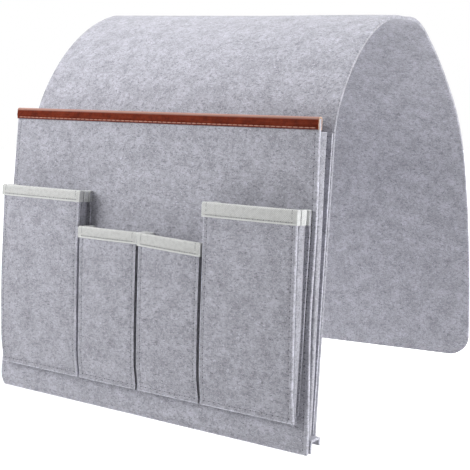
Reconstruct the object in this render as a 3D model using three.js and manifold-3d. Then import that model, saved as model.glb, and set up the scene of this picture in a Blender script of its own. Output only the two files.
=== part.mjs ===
// Armrest organizer: a felt sheet that hangs over an arm, with one large pocket on its front leg
// and four small pockets in a row on the large one. Sizes are in millimetres.
// X runs across the sheet, Y from the pocket side to the back flap, Z up.
// The origin is the middle of the flat underside at the top of the arch.
import * as THREE from "three";
import Module from "manifold-3d";

const wasm = await Module();
wasm.setup();

// Materials and gaps
const FELT = 3; // thickness of the sheet, the panel and the pocket fronts
const GUSSET_FELT = 2; // thinner felt of the large pocket's gussets
const SOFT_FELT = 1.5; // thinnest felt, of the small pockets' gussets
const TAPE = 0.8; // woven tape
const LEATHER = 1.2;
const GAP = 0.3; // between neighbouring pieces that are sewn together
const THREAD = 0.8; // width of a row of stitches
const THREAD_HEIGHT = 0.4;
const THREAD_GAP = 0.1; // between a row of stitches and the face it lies on

// Sheet, measured along its outer face from the bottom edge of the front leg
const SHEET_WIDTH = 320;
const FRONT_RUN = 418; // bottom edge to the front edge of the flat strip at the crest
const CREST_FLAT = 16; // flat strip at the crest
const LEAN = 6.43; // degrees off vertical, bottom edge forwards
const FLEX_FRONT = 300; // where the front leg bends away from the saddle
const FLEX_BACK = 534; // where the back flap bends away from the saddle
const FLEX_OPEN = 1.5; // how far a flex line stands open at the inner face
const FLAP_CORNER = 17; // radius of the back flap's bottom corners
const STEP = 6; // distance between cross-sections on a curve

// Front of the arch at each end: a straight length, then the lower arc and how far it turns.
// The upper arc is what is left of the run and of the turn.
const RIGHT_STRAIGHT = 240.5;
const RIGHT_LOWER_ARC = 30;
const RIGHT_LOWER_ANGLE = 23.25;
const LEFT_STRAIGHT = 202;
const LEFT_LOWER_ARC = 208;
const LEFT_LOWER_ANGLE = 70.6;

// Back of the arch: its arcs have the same lengths at both ends, and turn by their own angles
const SHOULDER_LENGTH = 45;
const SLOPE_LENGTH = 95;
const ROUND_LENGTH = 90;
const HANG_LENGTH = 170;
const TAIL_LENGTH = 50; // straight end of the back flap
const RIGHT_BACK_ANGLES = { shoulderAngle: 31.5, slopeAngle: 12.2, roundAngle: 30.1, hangAngle: 11 };
const LEFT_BACK_ANGLES = { shoulderAngle: 31.8, slopeAngle: 19.3, roundAngle: 31.1, hangAngle: 5.4 };

// Large pocket; heights are measured down the panel's face from the top of its binding
const PANEL_TOP_INSET = 3; // panel's side edge inside the sheet's at the top
const PANEL_BOTTOM_SPREAD = 3; // and outside it at the bottom
const PANEL_BOTTOM = 260;
const PANEL_LEFT_CORNER = 12;
const PANEL_RIGHT_CORNER = 2;
const POCKET_DEPTH = 19.5; // panel's outer face to the sheet's outer face
const SHEET_ABOVE_EDGE = 4; // the sheet's bottom edge above the panel's
const SHEET_BOTTOM = PANEL_BOTTOM - SHEET_ABOVE_EDGE;
const BINDING_HEIGHT = 10;
const GUSSET_FLANGE = 8; // width of a gusset's sewn edges
const GUSSET_CREASE = 6; // how far the gusset folds in
const GUSSET_INSET = 0.6; // gusset's outer face behind the edge it is sewn to
const FLOOR_ABOVE_EDGE = 9; // large pocket's floor above the panel's bottom edge

// Small pockets
const WIDE_LEFT_WIDTH = 92.5;
const NARROW_LEFT_WIDTH = 63.4;
const NARROW_RIGHT_WIDTH = 63.2; // the wide right pocket takes the rest of the row
const ROW_INSET = 5; // row of pockets inside the sheet's edges, at its bottom
const ROW_NARROWING = 5; // how much narrower the row is at the wide pockets' tops
const POCKET_GAP = 1.4;
const WIDE_TOP = 71;
const NARROW_TOP = 101.5;
const NARROW_RIGHT_DROP = 3; // how much lower its right end is
const POCKET_BOTTOM = 236.5;
const PROUD_TOP = 19; // wide pocket's outer face in front of the panel, at its top
const PROUD_BOTTOM = 9.5;
const LEFT_TAPE_HEIGHT = 10;
const NARROW_RIGHT_TAPE_HEIGHT = 11;
const WIDE_RIGHT_TAPE_HEIGHT = 12;
const SMALL_FLANGE = 6;
const SMALL_CREASE_TOP = 4;
const SMALL_CREASE_BOTTOM = 1;
const SMALL_FLOOR_ABOVE_EDGE = 4; // small pockets' floors above their fronts' bottom edges
const SEAM_INSET = 4; // from an edge to the row of stitches along it

const radians = THREE.MathUtils.degToRad;

// One closed solid through a row of cross-sections with equal point counts
function loft(sections, outline) {
  const count = sections[0].length;
  const points = sections.flat();
  const faces = [];
  for (let k = 0; k + 1 < sections.length; k++) {
    for (let i = 0; i < count; i++) {
      const j = (i + 1) % count;
      const [a, b, c, d] = [k * count + i, k * count + j, (k + 1) * count + j, (k + 1) * count + i];
      faces.push([a, b, c], [a, c, d]);
    }
  }
  const flat = outline.map(([x, y]) => new THREE.Vector2(x, y));
  const clockwise = THREE.ShapeUtils.isClockWise(flat);
  const last = points.length - count;
  for (const cap of THREE.ShapeUtils.triangulateShape(flat, [])) {
    const same = THREE.ShapeUtils.isClockWise(cap.map((i) => flat[i])) === clockwise;
    const turned = same ? cap.slice().reverse() : cap;
    faces.push(turned, turned.map((i) => i + last).reverse());
  }
  const volume = faces.reduce((sum, [a, b, c]) => {
    return sum + points[a].dot(points[b].clone().cross(points[c]));
  }, 0);
  const index = faces.flatMap((f) => (volume < 0 ? [f[0], f[2], f[1]] : f));
  const geometry = new THREE.BufferGeometry().setFromPoints(points);
  geometry.setIndex(index);
  return geometry;
}

function toSolid(geometry) {
  return new wasm.Manifold(
    new wasm.Mesh({
      numProp: 3,
      vertProperties: new Float32Array(geometry.getAttribute("position").array),
      triVerts: new Uint32Array(geometry.index.array),
    }),
  );
}

function toGeometry(solid) {
  const mesh = solid.getMesh();
  const geometry = new THREE.BufferGeometry();
  geometry.setAttribute("position", new THREE.BufferAttribute(mesh.vertProperties, 3));
  geometry.setIndex(new THREE.BufferAttribute(mesh.triVerts, 1));
  return geometry;
}

// Chains of arcs that make the sheet's outline at each end
const FRONT_ANGLE = 90 - LEAN;

function backArcs(angles) {
  return [
    [CREST_FLAT, 0],
    [SHOULDER_LENGTH, angles.shoulderAngle],
    [SLOPE_LENGTH, angles.slopeAngle],
    [ROUND_LENGTH, angles.roundAngle],
    [HANG_LENGTH, angles.hangAngle],
    [TAIL_LENGTH, 0],
  ];
}

function frontArcs(straight, arc, turn) {
  return [
    [straight, 0],
    [arc, turn],
    [FRONT_RUN - straight - arc, FRONT_ANGLE - turn],
  ];
}

const leftChain = [
  ...frontArcs(LEFT_STRAIGHT, LEFT_LOWER_ARC, LEFT_LOWER_ANGLE),
  ...backArcs(LEFT_BACK_ANGLES),
];
const rightChain = [
  ...frontArcs(RIGHT_STRAIGHT, RIGHT_LOWER_ARC, RIGHT_LOWER_ANGLE),
  ...backArcs(RIGHT_BACK_ANGLES),
];
const SHEET_LENGTH = rightChain.reduce((sum, [length]) => sum + length, 0);

// Distances at which an arc of either end begins
const breaks = [leftChain, rightChain]
  .flatMap((chain) => chain.map((_, i) => chain.slice(0, i).reduce((sum, [n]) => sum + n, 0)))
  .sort((a, b) => a - b)
  .filter((distance, i, all) => i === 0 || distance - all[i - 1] > GAP);

// Point on the panel's plane: down is the distance from its top, out the distance in front of its face
const leanAngle = radians(LEAN);

function panelPlane(down, out) {
  return [
    -down * Math.sin(leanAngle) - out * Math.cos(leanAngle),
    -down * Math.cos(leanAngle) + out * Math.sin(leanAngle),
  ];
}

// Place and heading on a chain, at a distance along it
function along(chain, distance) {
  let [y, z] = panelPlane(SHEET_BOTTOM, -POCKET_DEPTH);
  let heading = radians(FRONT_ANGLE);
  let left = distance;
  for (const [length, turn] of chain) {
    const run = Math.min(left, length);
    const bend = (radians(turn) * run) / length;
    const chord = bend ? (run * Math.sin(bend / 2)) / (bend / 2) : run;
    y += chord * Math.cos(heading - bend / 2);
    z += chord * Math.sin(heading - bend / 2);
    heading -= bend;
    left -= run;
    if (left <= 0) break;
  }
  return { y, z, heading };
}

// The same place at a depth below the outer face
function below(chain, distance, depth) {
  const { y, z, heading } = along(chain, distance);
  return [y + depth * Math.sin(heading), z - depth * Math.cos(heading)];
}

const CREST_MIDDLE = FRONT_RUN + CREST_FLAT / 2;
const crestEnds = [below(leftChain, CREST_MIDDLE, FELT), below(rightChain, CREST_MIDDLE, FELT)];
const originY = (crestEnds[0][0] + crestEnds[1][0]) / 2;
const originZ = (crestEnds[0][1] + crestEnds[1][1]) / 2;

// Group that the pockets hang in: local Z runs up the panel, and Y goes in through it
const pockets = new THREE.Group();
pockets.position.set(0, -originY, -originZ);
pockets.rotation.x = -leanAngle;

function at(x, down, out) {
  return new THREE.Vector3(x, -out, -down);
}

// Point of the sheet at a distance along it, at a depth below its outer face
function onSheet(x, distance, depth) {
  const [leftY, leftZ] = below(leftChain, distance, depth);
  const [rightY, rightZ] = below(rightChain, distance, depth);
  const share = x / SHEET_WIDTH + 0.5;
  const y = THREE.MathUtils.lerp(leftY, rightY, share) - originY;
  const z = THREE.MathUtils.lerp(leftZ, rightZ, share) - originZ;
  return new THREE.Vector3(x, y, z);
}

// Half width of the sheet: it narrows only at the back flap's rounded corners
function halfWidth(distance) {
  const up = SHEET_LENGTH - distance;
  if (up >= FLAP_CORNER) return SHEET_WIDTH / 2;
  return SHEET_WIDTH / 2 - FLAP_CORNER + Math.sqrt(FLAP_CORNER ** 2 - (FLAP_CORNER - up) ** 2);
}

// Stretch of the sheet between two distances; openStart and openEnd widen a flex line at the inner face
function sheetPiece(start, end, openStart, openEnd) {
  const rounded = end === SHEET_LENGTH;
  const straightEnd = rounded ? end - FLAP_CORNER : end;
  const marks = [start, ...breaks.filter((b) => b > start && b < straightEnd), straightEnd];
  const stations = [start];
  for (let i = 1; i < marks.length; i++) {
    const steps = Math.ceil((marks[i] - marks[i - 1]) / STEP);
    for (let k = 1; k <= steps; k++) {
      stations.push(THREE.MathUtils.lerp(marks[i - 1], marks[i], k / steps));
    }
  }
  const CORNER_STEPS = 8;
  for (let i = 1; rounded && i <= CORNER_STEPS; i++) {
    stations.push(end - FLAP_CORNER * (1 - Math.sin(radians((90 * i) / CORNER_STEPS))));
  }
  const sections = stations.map((outer, i) => {
    const half = halfWidth(outer);
    let inner = outer;
    if (i === 0) inner += openStart;
    if (i === stations.length - 1) inner -= openEnd;
    return [
      onSheet(-half, outer, 0),
      onSheet(half, outer, 0),
      onSheet(half, inner, FELT),
      onSheet(-half, inner, FELT),
    ];
  });
  return loft(sections, [[-1, 0], [1, 0], [1, 1], [-1, 1]]);
}

// Prism across the panel between two sides, each given as x at a height; each may have its own section
function acrossPanel(startAt, endAt, startSection, endSection = startSection) {
  const section = (sideAt, outline) => outline.map(([down, out]) => at(sideAt(down), down, out));
  return loft([section(startAt, startSection), section(endAt, endSection)], startSection);
}

// Prism down the panel with its section across it; sectionAt gives the section at a height
function downPanel(top, bottom, sectionAt) {
  const section = (down) => sectionAt(down).map(([x, out]) => at(x, down, out));
  return loft([section(top), section(bottom)], sectionAt(top));
}

// Slab parallel to a face: the outline is given as x and down, outAt gives the face at a height
function slab(outline, outAt, low, high) {
  const face = (rise) => outline.map(([x, down]) => at(x, down, outAt(down) + rise));
  return loft([face(low), face(high)], outline);
}

// Quarter circle from one edge to the next, as points of an outline
function corner(x, down, radius, fromDegrees) {
  const CORNER_POINTS = 6;
  return Array.from({ length: CORNER_POINTS + 1 }, (_, i) => {
    const angle = radians(fromDegrees + (90 * i) / CORNER_POINTS);
    return [x + radius * Math.cos(angle), down + radius * Math.sin(angle)];
  });
}

// Outline of a U-shaped row of stitches, a line of its own width down one side, across and up
function seamOutline(sideAt, top, bottom) {
  const left = (down, inset) => sideAt(down, -1) + inset;
  const right = (down, inset) => sideAt(down, 1) - inset;
  const near = SEAM_INSET;
  const far = SEAM_INSET + THREAD;
  return [
    [left(top, near), top],
    [left(bottom, near), bottom],
    [right(bottom, near), bottom],
    [right(top, near), top],
    [right(top, far), top],
    [right(bottom, far), bottom - THREAD],
    [left(bottom, far), bottom - THREAD],
    [left(top, far), top],
  ];
}

function add(parent, name, geometry, material) {
  const flat = geometry.toNonIndexed();
  flat.computeVertexNormals();
  const mesh = new THREE.Mesh(flat, material);
  mesh.name = name;
  parent.add(mesh);
}

function paint(colour, roughness) {
  return new THREE.MeshStandardMaterial({ color: colour, roughness, metalness: 0 });
}

const felt = paint("#b4b5bf", 0.95);
const tape = paint("#c9cccb", 0.9);
const leather = paint("#8a3c28", 0.55);
const thread = paint("#d2d2d8", 0.9);

// Sheet over the arm, in three stretches that meet at the flex lines
const organizer = new THREE.Group();
organizer.add(pockets);
const frontStart = FLEX_FRONT - GAP / 2;
const backStart = FLEX_BACK + GAP / 2;
add(organizer, "sheet_front_leg", sheetPiece(0, frontStart, 0, FLEX_OPEN / 2), felt);
add(
  organizer,
  "sheet_saddle",
  sheetPiece(frontStart + GAP, backStart - GAP, FLEX_OPEN / 2, FLEX_OPEN / 2),
  felt,
);
add(organizer, "sheet_back_flap", sheetPiece(backStart, SHEET_LENGTH, FLEX_OPEN / 2, 0), felt);

// Panel of the large pocket, with the top edge in its leather binding
const PANEL_TOP = LEATHER + GAP;

function panelSide(down, sign) {
  const beyond = THREE.MathUtils.lerp(-PANEL_TOP_INSET, PANEL_BOTTOM_SPREAD, down / PANEL_BOTTOM);
  return sign * (SHEET_WIDTH / 2 + beyond);
}

const panelFace = () => 0;
const rightX = panelSide(PANEL_BOTTOM, 1) - PANEL_RIGHT_CORNER;
const leftX = panelSide(PANEL_BOTTOM, -1) + PANEL_LEFT_CORNER;
const panelOutline = [
  [panelSide(PANEL_TOP, -1), PANEL_TOP],
  [panelSide(PANEL_TOP, 1), PANEL_TOP],
  ...corner(rightX, PANEL_BOTTOM - PANEL_RIGHT_CORNER, PANEL_RIGHT_CORNER, 0),
  ...corner(leftX, PANEL_BOTTOM - PANEL_LEFT_CORNER, PANEL_LEFT_CORNER, 90),
];
add(pockets, "pocket_panel", slab(panelOutline, panelFace, -FELT, 0), felt);

// A strip folded over a top edge: a U with one leg in front of a felt slab and one behind it
function foldedEdge(faceAt, top, height, thickness) {
  const front = (down) => faceAt(down) + GAP;
  const back = (down) => faceAt(down) - FELT - GAP;
  const end = top + height;
  const inside = top + thickness;
  return [
    [end, front(end) + thickness],
    [top, front(inside) + thickness],
    [top, back(inside) - thickness],
    [end, back(end) - thickness],
    [end, back(end)],
    [inside, back(inside)],
    [inside, front(inside)],
    [end, front(end)],
  ];
}

const bindingHalf = panelSide(0, 1);
add(
  pockets,
  "leather_binding",
  acrossPanel(
    () => -bindingHalf,
    () => bindingHalf,
    foldedEdge(panelFace, 0, BINDING_HEIGHT, LEATHER),
  ),
  leather,
);

const bindingFace = GAP + LEATHER + THREAD_GAP;
const bindingSeam = BINDING_HEIGHT - THREAD * 2;
const bindingSeamEnd = bindingHalf - SEAM_INSET;
const bindingStitches = [
  [bindingSeam, bindingFace],
  [bindingSeam + THREAD, bindingFace],
  [bindingSeam + THREAD, bindingFace + THREAD_HEIGHT],
  [bindingSeam, bindingFace + THREAD_HEIGHT],
];
add(
  pockets,
  "leather_stitching",
  acrossPanel(() => -bindingSeamEnd, () => bindingSeamEnd, bindingStitches),
  thread,
);
const seamTop = BINDING_HEIGHT + GAP;
add(
  pockets,
  "panel_stitching",
  slab(
    seamOutline(panelSide, seamTop, PANEL_BOTTOM - SEAM_INSET),
    panelFace,
    THREAD_GAP,
    THREAD_GAP + THREAD_HEIGHT,
  ),
  thread,
);

// How much a felt of a given thickness measures across, where it folds in by crease over half its depth
function slantedThickness(thickness, crease, half) {
  return (thickness * Math.hypot(crease, half)) / half;
}

// Side gusset: a strip folded inwards at its middle, with a sewn edge at the front and one at the back.
// Its top stretch has no front edge and starts behind the binding's back leg.
function gusset(g) {
  const { sign, thickness, flange, notchBottom, notchStep } = g;
  const sectionAt = (down, whole) => {
    const outFront = g.outFront(down) - (whole ? 0 : notchStep);
    const outBack = g.outBack(down);
    const sideFront = g.frontSide(down);
    const sideBack = g.backSide(down);
    const middle = (outFront + outBack) / 2;
    const crease = (sideFront + sideBack) / 2 - sign * g.crease(down);
    const across = sign * slantedThickness(thickness, g.crease(down), middle - outBack);
    const inward = thickness / (middle - outBack);
    const backCorner = THREE.MathUtils.lerp(sideBack, crease, inward) - across;
    const frontCorner = THREE.MathUtils.lerp(sideFront, crease, inward) - across;
    const backEdge = [
      [sideFront, outFront],
      [crease, middle],
      [sideBack, outBack],
      [sideBack - sign * flange, outBack],
      [sideBack - sign * flange, outBack + thickness],
      [backCorner, outBack + thickness],
      [crease - across, middle],
    ];
    if (!whole) return [...backEdge, [sideFront - across, outFront]];
    return [
      ...backEdge,
      [frontCorner, outFront - thickness],
      [sideFront - sign * flange, outFront - thickness],
      [sideFront - sign * flange, outFront],
    ];
  };
  const upper = toSolid(downPanel(g.top, notchBottom + GAP, (down) => sectionAt(down, false)));
  const lower = toSolid(downPanel(notchBottom, g.bottom, (down) => sectionAt(down, true)));
  return toGeometry(upper.add(lower));
}

// Section of a pocket's floor: a strip with its front and back edges turned down
function floorSection(top, bottom, outFront, outBack, thickness) {
  const under = top + thickness;
  return [
    [top, outBack],
    [bottom, outBack],
    [bottom, outBack + thickness],
    [under, outBack + thickness],
    [under, outFront(under) - thickness],
    [bottom, outFront(bottom) - thickness],
    [bottom, outFront(bottom)],
    [top, outFront(top)],
  ];
}

// Gussets and floor of the large pocket
const floorTop = PANEL_BOTTOM - FLOOR_ABOVE_EDGE - GUSSET_FELT;
const innerFront = -FELT - GAP;
const innerBack = -POCKET_DEPTH + GAP;
for (const [sign, side] of [[-1, "left"], [1, "right"]]) {
  add(
    pockets,
    "panel_gusset_" + side,
    gusset({
      sign,
      thickness: GUSSET_FELT,
      flange: GUSSET_FLANGE,
      crease: () => GUSSET_CREASE,
      frontSide: (down) => panelSide(down, sign) - sign * GUSSET_INSET,
      backSide: () => sign * (SHEET_WIDTH / 2 - GUSSET_INSET),
      outFront: () => innerFront,
      outBack: () => innerBack,
      top: PANEL_TOP,
      bottom: floorTop - GAP,
      notchBottom: BINDING_HEIGHT + GAP,
      notchStep: LEATHER + GAP,
    }),
    felt,
  );
}
const floorHalf = SHEET_WIDTH / 2 - GUSSET_INSET;
add(
  pockets,
  "panel_floor",
  acrossPanel(
    () => -floorHalf,
    () => floorHalf,
    floorSection(floorTop, SHEET_BOTTOM, () => innerFront, innerBack, GUSSET_FELT),
  ),
  felt,
);

// Outer face of the small pockets' fronts, one plane for all four
const TAPER = (PROUD_TOP - PROUD_BOTTOM) / (POCKET_BOTTOM - WIDE_TOP);
const frontFace = (down) => PROUD_BOTTOM + (POCKET_BOTTOM - down) * TAPER;

// Place of a point of the row's bottom edge at another height: the row narrows evenly towards its top
function inRow(x, down) {
  const rise = (POCKET_BOTTOM - down) / (POCKET_BOTTOM - WIDE_TOP);
  return x * (1 - (ROW_NARROWING * rise) / (SHEET_WIDTH - 2 * ROW_INSET));
}

function smallPocket(name, leftX, rightX, top, drop, tapeHeight) {
  const fold = TAPE + GAP;
  const topAt = (x) => top + (drop * (x - leftX)) / (rightX - leftX);
  const leftAt = (down) => inRow(leftX, down);
  const rightAt = (down) => inRow(rightX, down);
  const sideAt = (down, sign) => (sign < 0 ? leftAt(down) : rightAt(down));
  const leftTop = topAt(leftX) + fold;
  const rightTop = topAt(rightX) + fold;
  add(
    pockets,
    name + "_front",
    slab(
      [
        [leftAt(leftTop), leftTop],
        [rightAt(rightTop), rightTop],
        [rightX, POCKET_BOTTOM],
        [leftX, POCKET_BOTTOM],
      ],
      frontFace,
      -FELT,
      0,
    ),
    felt,
  );
  const folded = (x) => foldedEdge(frontFace, topAt(x), tapeHeight, TAPE);
  add(pockets, name + "_tape", acrossPanel(leftAt, rightAt, folded(leftX), folded(rightX)), tape);
  add(
    pockets,
    name + "_stitching",
    slab(
      seamOutline(sideAt, top + drop + tapeHeight + GAP, POCKET_BOTTOM - SEAM_INSET),
      frontFace,
      THREAD_GAP,
      THREAD_GAP + THREAD_HEIGHT,
    ),
    thread,
  );

  const pocketFloor = POCKET_BOTTOM - SMALL_FLOOR_ABOVE_EDGE - SOFT_FELT;
  const outFront = (down) => frontFace(down) - FELT - GAP;
  const outBack = GAP;
  const crease = (down) => {
    const share = (down - WIDE_TOP) / (POCKET_BOTTOM - WIDE_TOP);
    return THREE.MathUtils.lerp(SMALL_CREASE_TOP, SMALL_CREASE_BOTTOM, share);
  };
  for (const [sign, side] of [[-1, "left"], [1, "right"]]) {
    const edgeAt = (down) => sideAt(down, sign) - sign * fold;
    const capTop = topAt(sign < 0 ? leftX + fold : rightX - fold);
    const capBottom = capTop + tapeHeight;
    add(
      pockets,
      name + "_gusset_" + side,
      gusset({
        sign,
        thickness: SOFT_FELT,
        flange: SMALL_FLANGE,
        crease,
        frontSide: edgeAt,
        backSide: edgeAt,
        outFront,
        outBack: () => outBack,
        top: capTop + fold,
        bottom: pocketFloor - GAP,
        notchBottom: capBottom + GAP,
        notchStep: fold,
      }),
      felt,
    );

    // Tape over the gusset's top edge: a cap around the folded leaf, open below
    const capAt = (down, wall) => {
      const front = outFront(down) - fold;
      const middle = (front + outBack) / 2;
      const across = slantedThickness(SOFT_FELT, crease(down), middle - outBack);
      const backEnd = outBack + SOFT_FELT + GAP;
      const past = wall === GAP ? GAP : 0;
      const leafAt = (out) => {
        const inward = crease(down) * (1 - Math.abs(out - middle) / (middle - outBack));
        return edgeAt(down) - sign * inward;
      };
      const line = [front + past, middle, backEnd - past];
      return [
        ...line.map((out) => [leafAt(out) + sign * wall, out]),
        ...line.reverse().map((out) => [leafAt(out) - sign * (across + wall), out]),
      ];
    };
    const outerCap = toSolid(downPanel(capTop, capBottom, (down) => capAt(down, fold)));
    const leafRoom = toSolid(downPanel(capTop + TAPE, capBottom + GAP, (down) => capAt(down, GAP)));
    add(pockets, name + "_tape_" + side, toGeometry(outerCap.subtract(leafRoom)), tape);
  }

  add(
    pockets,
    name + "_floor",
    acrossPanel(
      (down) => leftAt(down) + fold,
      (down) => rightAt(down) - fold,
      floorSection(pocketFloor, POCKET_BOTTOM, outFront, outBack, SOFT_FELT),
    ),
    felt,
  );
}

// Row of small pockets, centred on the panel
const rowLeft = ROW_INSET - SHEET_WIDTH / 2;
const narrowLeftStart = rowLeft + WIDE_LEFT_WIDTH + POCKET_GAP;
const narrowRightStart = narrowLeftStart + NARROW_LEFT_WIDTH + POCKET_GAP;
const wideRightStart = narrowRightStart + NARROW_RIGHT_WIDTH + POCKET_GAP;
smallPocket("wide_left", rowLeft, narrowLeftStart - POCKET_GAP, WIDE_TOP, 0, LEFT_TAPE_HEIGHT);
smallPocket(
  "narrow_left",
  narrowLeftStart,
  narrowRightStart - POCKET_GAP,
  NARROW_TOP,
  0,
  LEFT_TAPE_HEIGHT,
);
smallPocket(
  "narrow_right",
  narrowRightStart,
  wideRightStart - POCKET_GAP,
  NARROW_TOP,
  NARROW_RIGHT_DROP,
  NARROW_RIGHT_TAPE_HEIGHT,
);
smallPocket("wide_right", wideRightStart, -rowLeft, WIDE_TOP, 0, WIDE_RIGHT_TAPE_HEIGHT);

export default organizer;
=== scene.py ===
# Armrest organizer in felt: the pieces that show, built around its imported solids.
# Shapes are worked out in millimetres, and each finished piece is scaled to metres.
# X runs across the sheet, Y from the pocket side to the back flap, Z up.
import functools
import math
from collections import namedtuple

import bmesh
import bpy
from mathutils import Matrix, Vector, noise


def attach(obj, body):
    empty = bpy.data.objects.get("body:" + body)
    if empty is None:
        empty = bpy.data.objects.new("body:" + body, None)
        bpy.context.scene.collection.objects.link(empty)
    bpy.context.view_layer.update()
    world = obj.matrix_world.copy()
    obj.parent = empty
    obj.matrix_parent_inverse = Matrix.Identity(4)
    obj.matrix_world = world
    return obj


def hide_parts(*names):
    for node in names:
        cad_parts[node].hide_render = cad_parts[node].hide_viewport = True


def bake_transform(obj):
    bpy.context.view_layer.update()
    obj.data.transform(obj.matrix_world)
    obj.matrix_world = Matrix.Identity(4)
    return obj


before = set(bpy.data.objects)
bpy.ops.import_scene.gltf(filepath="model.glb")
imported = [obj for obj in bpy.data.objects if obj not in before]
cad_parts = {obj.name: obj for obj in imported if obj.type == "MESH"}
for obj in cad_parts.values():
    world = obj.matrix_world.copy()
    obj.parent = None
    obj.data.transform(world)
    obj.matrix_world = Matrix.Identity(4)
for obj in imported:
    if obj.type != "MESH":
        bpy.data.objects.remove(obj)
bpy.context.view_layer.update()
MM = 0.001

# Thicknesses and gaps
FELT = 3.0
GUSSET_FELT = 2.0
SOFT_FELT = 1.5
TAPE = 0.8
LEATHER = 1.2
GAP = 0.3

# Sheet, measured along its outer face from the bottom edge of the front leg
LEG_LEAN = math.radians(6.43)
SHEET_WIDTH = 320.0
SHEET_LENGTH = 884.0
CREST = 426.0
FRONT_SHOULDER = 300.0
BACK_SHOULDER = 534.0
SHOULDER_REACH = 32.0
FLAP_CORNER = 23.0
FLAP_CORNER_ANGLES = range(15, 90, 8)
FLAP_FLARE = 1.0
FLARE_STARTS = (560.0, 720.0)
LEG_SEAM = (12.0, 242.0)
LEG_LOW_SEAM = 7.0
LEG_LOW_SEAM_HALF = 150.0

# Arcs of the sheet's outline along its left and right edges: each one's length and turn in degrees
BACK_LENGTHS = (16, 45, 95, 90, 170, 50)
LEFT_ARCS = ((202, 0), (208, 70.6), (8, 12.97)) + tuple(
    zip(BACK_LENGTHS, (0, 31.8, 19.3, 31.1, 5.4, 0))
)
RIGHT_ARCS = ((240.5, 0), (30, 23.25), (147.5, 60.32)) + tuple(
    zip(BACK_LENGTHS, (0, 31.5, 12.2, 30.1, 11, 0))
)

# Waves of the felt: length across and along, level in the noise, and height
SLOW_WAVE = (150.0, 170.0, 3.1, 2.4)
QUICK_WAVE = (55.0, 70.0, 8.4, 0.7)
PANEL_RIPPLE = (90.0, 75.0, 1.7, 1.3)
WAVES_START = (262.0, 310.0)
FLAT_AT_CREST = 26.0
FLAT_AT_PANEL_EDGE = 40.0

# Large pocket, measured down its panel from the top of the leather
PANEL_TOP_WIDTH = 314.0
PANEL_BOTTOM_WIDTH = 329.0
PANEL_BOTTOM = 260.0
PANEL_SAG = 0.8
PANEL_SAG_REACH = 20.0
PANEL_BOW = 2.3
PANEL_BOW_AT = 165.0
PANEL_BOW_REACH = 60.0
PANEL_LEFT_CORNER = 14.0
PANEL_RIGHT_CORNER = 2.0
PANEL_CORNER_SHARE = 0.55
BINDING_HEIGHT = 10.0
BINDING_ROUND = 2.4
BINDING_FOLD = 10.7
BINDING_RIDGE = 6.4
RIDGE_HEIGHT = 0.35
RIDGE_SPREAD = 3.0
BINDING_SEAM = 8.6
BINDING_GROOVE_SPREAD = 0.7
TRIM_SEAM_END = 2.5
TRIM_THREAD_SINK = 0.12
PANEL_SEAM_TOP = 13.0
SHEET_BOTTOM = 256.0
POCKET_DEPTH = 19.5
LARGE_GUSSET_TOP = 11.2
LARGE_GUSSET_EDGE = 159.6
LARGE_GUSSET_FLANGE = 8.0
FLOOR_TOP = 249.0
FLOOR_LEFT_END = -159.2
FLOOR_RIGHT_END = 165.5
FLOOR_FRONT_SHORT = 0.4
FLOOR_BACK_SHORT = 0.2
FLOOR_TURN = 0.2

# Seams
SEAM_INSET = 4.0
SIDE_SEAM = SHEET_WIDTH / 2 - SEAM_INSET
LOW_SEAM = PANEL_BOTTOM - SEAM_INSET
PUCKER_DEPTH = 0.55
PUCKER_REACH = 1.15
PRESSED_GROOVE = 0.3
SEAM_END = 4.0
SEAM_CORNER = 8.0
GROOVE_STEPS = (-2.4, -1.1, 0, 1.1, 2.4)
STITCH_PITCH = 5.0
THREAD_HALF_WIDTH = 0.42
THREAD_HALF_HEIGHT = 0.34
THREAD_LIFT = 0.18
# Half sizes and lift of the dark beads of painted shade at the needle holes
HOLE_HALF_LENGTH = 0.6
HOLE_HALF_WIDTH = 0.52
HOLE_HALF_HEIGHT = 0.14
HOLE_LIFT = 0.03

# Small pockets, measured down and out from the panel
POCKET_BOTTOM = 236.5
SMALL_FLOOR_TOP = 231.0
WIDE_TOP = 71.0
NARROW_TOP = 101.5
ROW_WIDTH = 310.0
ROW_NARROWING = 5.0
FRONT_LOW = 11.1
FRONT_RISE = 7.4
FRONT_BOW = 1.1
FRONT_CROWN = 1.2
CROWN_GROWTH = 1.6
FOOT_PINCH = 2.8
FOOT_REACH = 27.0
SIDE_TUCK = 0.7
SIDE_TUCK_REACH = 6.0
DEEP_UNDERCUT = 1.7
SHALLOW_UNDERCUT = 0.5
UNDERCUT_STARTS = (99.0, 111.0)
UNDERCUT_FADES = (175.0, 240.0)
UNDERCUT_FADE = 0.7
UNDERCUT_REACH = 5.0

# Tapes of the small pockets
TAPE_FOLD = TAPE + GAP
TAPE_ROUND = 2.0
TAPE_SEAM = 1.9
TAPE_GROOVE_SPREAD = 0.6
TAPE_OVERHANG = 0.3
TAPE_THREAD_SINK = 0.2
CORNER_TAPE = 0.55
CORNER_TAPE_OUT = 0.62
CORNER_TAPE_ROUND = 2.2
CORNER_TAPE_TOP = 0.05
CORNER_TAPE_SPARE = 0.1
GUSSET_TAPE_ROUND = 1.5
GUSSET_TAPE_STARTS = 0.6

# Gussets, floors and seams of the small pockets
SMALL_FLANGE = 6.0
FRONT_EDGE_OUT = 0.8
BACK_EDGE_OUT = 0.3
SMALL_VALLEY = 4.0
VALLEY_CLOSING = 1.8
VALLEY_CLOSES = (90.0, 165.0)
TAPE_ROOM_FADES = 6.0
UNDERCUT_FOLLOWED = 1.2
GUSSET_SEAM_INSET = 0.9
GUSSET_SEAM_END = 3.0
FRONT_SEAM_STARTS = 1.6
TAPE_END_SEAM = (1.0, 1.5)
SMALL_FLOOR_INSET = 0.8


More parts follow.
